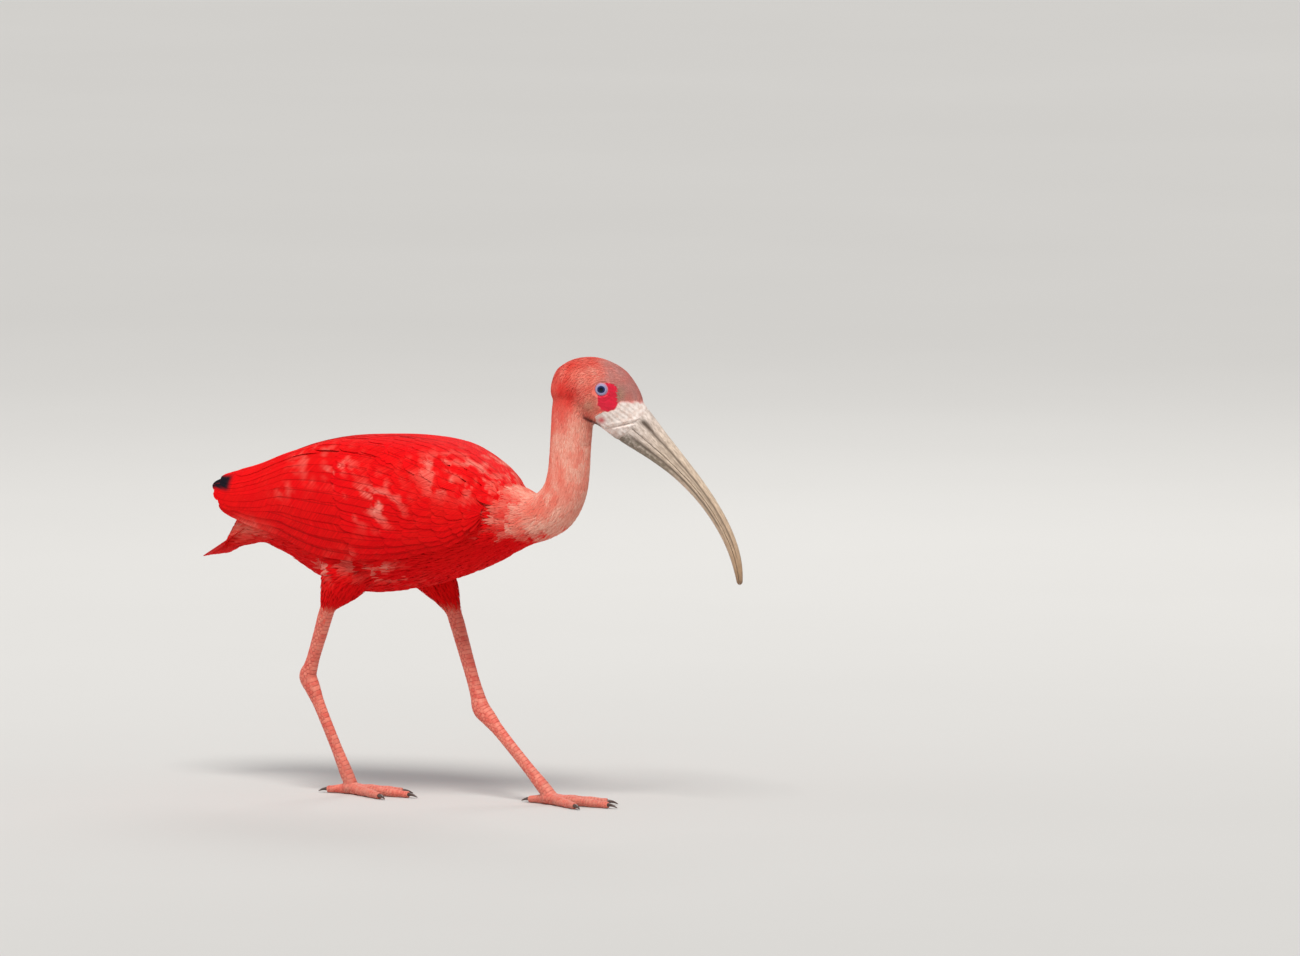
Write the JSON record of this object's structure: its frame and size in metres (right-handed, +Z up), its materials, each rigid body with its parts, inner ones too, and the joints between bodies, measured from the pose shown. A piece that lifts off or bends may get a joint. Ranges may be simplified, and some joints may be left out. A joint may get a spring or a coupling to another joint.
{
  "type": "scarlet ibis",
  "caption": "Life-size scarlet ibis in a walking stance, wings folded, neck raised and long curved bill pointing down.",
  "frame": {"origin": "on the floor, at the middle of the model's box", "axes": "+X the way the body faces, +Y the bird's left, +Z up"},
  "size_m": [0.4132, 0.1182, 0.3159],
  "materials": {
    "scarlet_plumage": "matt saturated scarlet feathers",
    "neck_plumage": "matt salmon red short feathers",
    "head_plumage": "matt salmon red short feathers, bare crimson skin before the eye",
    "black_plumage": "blue-black feather tips",
    "bill_horn": "satin horn, whitish pink at the base, sandy with dark grooves towards the tip",
    "claw_horn": "dark horn",
    "eye": "wet dark eye with a pale blue ring",
    "leg_skin": "salmon pink scaly skin"
  },
  "bodies": {
    "root": {"head": "head_plumage", "bill_upper": "bill_horn", "bill_lower": "bill_horn", "eye_left": "eye", "eye_right": "eye", "neck_upper": "neck_plumage", "neck_lower": "neck_plumage", "torso": "scarlet_plumage", "tail": "scarlet_plumage", "wing_left": "scarlet_plumage", "wing_tip_left": "black_plumage", "thigh_left": "scarlet_plumage", "shank_left": "leg_skin", "tarsus_left": "leg_skin", "foot_left": "leg_skin", "toe_middle_left": "leg_skin", "claw_middle_left": "claw_horn", "toe_inner_left": "leg_skin", "claw_inner_left": "claw_horn", "toe_outer_left": "leg_skin", "claw_outer_left": "claw_horn", "toe_hind_left": "leg_skin", "claw_hind_left": "claw_horn", "wing_right": "scarlet_plumage", "wing_tip_right": "black_plumage", "thigh_right": "scarlet_plumage", "shank_right": "leg_skin", "tarsus_right": "leg_skin", "foot_right": "leg_skin", "toe_middle_right": "leg_skin", "claw_middle_right": "claw_horn", "toe_inner_right": "leg_skin", "claw_inner_right": "claw_horn", "toe_outer_right": "leg_skin", "claw_outer_right": "claw_horn", "toe_hind_right": "leg_skin", "claw_hind_right": "claw_horn"}
  },
  "joints": []
}
